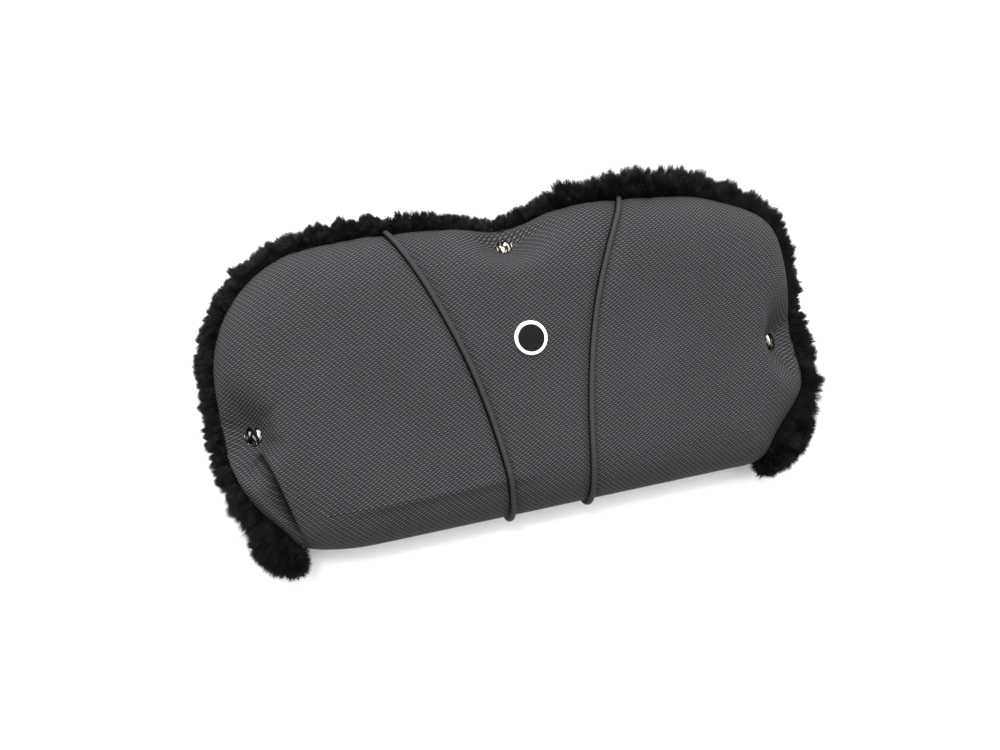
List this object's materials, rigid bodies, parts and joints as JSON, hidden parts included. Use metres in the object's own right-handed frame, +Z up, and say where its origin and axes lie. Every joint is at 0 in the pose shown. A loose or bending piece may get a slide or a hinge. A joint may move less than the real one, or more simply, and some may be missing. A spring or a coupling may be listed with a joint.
{
  "type": "hand warmer muff",
  "caption": "Padded two-lobed muff, folded over a push bar, with a fur lining, piped panels and snap fasteners that close its front half onto its back half.",
  "frame": {"origin": "below the middle of the muff's box, on the surface that its back half lies on", "axes": "+X along the fold, +Y from the fold towards the two lobes, +Z up through the front half"},
  "size_m": [0.534, 0.2629, 0.0705],
  "materials": {
    "shell_fabric": "matte",
    "piping_fabric": "matte",
    "piping_cord": "matte",
    "wadding": "matte",
    "faux_fur": "matte",
    "snap_patch": "matte",
    "cap_metal": "polished",
    "snap_metal": "satin",
    "spring_wire": "satin",
    "badge_metal": "satin",
    "badge_inlay": "gloss"
  },
  "bodies": {
    "back_half": {"back_fur_lining": "faux_fur", "back_piping_cord_left": "piping_cord", "back_piping_cord_right": "piping_cord", "back_piping_cover_left": "piping_fabric", "back_piping_cover_right": "piping_fabric", "back_shell_centre": "shell_fabric", "back_shell_left": "shell_fabric", "back_shell_right": "shell_fabric", "back_snap_patch_centre": "snap_patch", "back_snap_patch_left": "snap_patch", "back_snap_patch_right": "snap_patch", "back_wadding": "wadding", "snap_post_centre": "cap_metal", "snap_post_left": "cap_metal", "snap_post_right": "cap_metal", "snap_stud_centre": "snap_metal", "snap_stud_left": "snap_metal", "snap_stud_right": "snap_metal"},
    "front_half": {"badge_inlay": "badge_inlay", "badge_plate": "badge_metal", "badge_push_nuts": "snap_metal", "front_fur_lining": "faux_fur", "front_piping_cord_left": "piping_cord", "front_piping_cord_right": "piping_cord", "front_piping_cover_left": "piping_fabric", "front_piping_cover_right": "piping_fabric", "front_shell_centre": "shell_fabric", "front_shell_left": "shell_fabric", "front_shell_right": "shell_fabric", "front_snap_patch_centre": "snap_patch", "front_snap_patch_left": "snap_patch", "front_snap_patch_right": "snap_patch", "front_wadding": "wadding", "snap_cap_centre": "cap_metal", "snap_cap_left": "cap_metal", "snap_cap_right": "cap_metal", "snap_socket_centre": "snap_metal", "snap_socket_left": "snap_metal", "snap_socket_right": "snap_metal", "snap_spring_centre": "spring_wire", "snap_spring_left": "spring_wire", "snap_spring_right": "spring_wire"}
  },
  "joints": [
    {"name": "fold_open", "type": "hinge", "parent": "back_half", "child": "front_half", "pos_m": [0, -0.1319, 0.034], "axis": [1, 0, 0], "range_deg": [0, 180]}
  ]
}
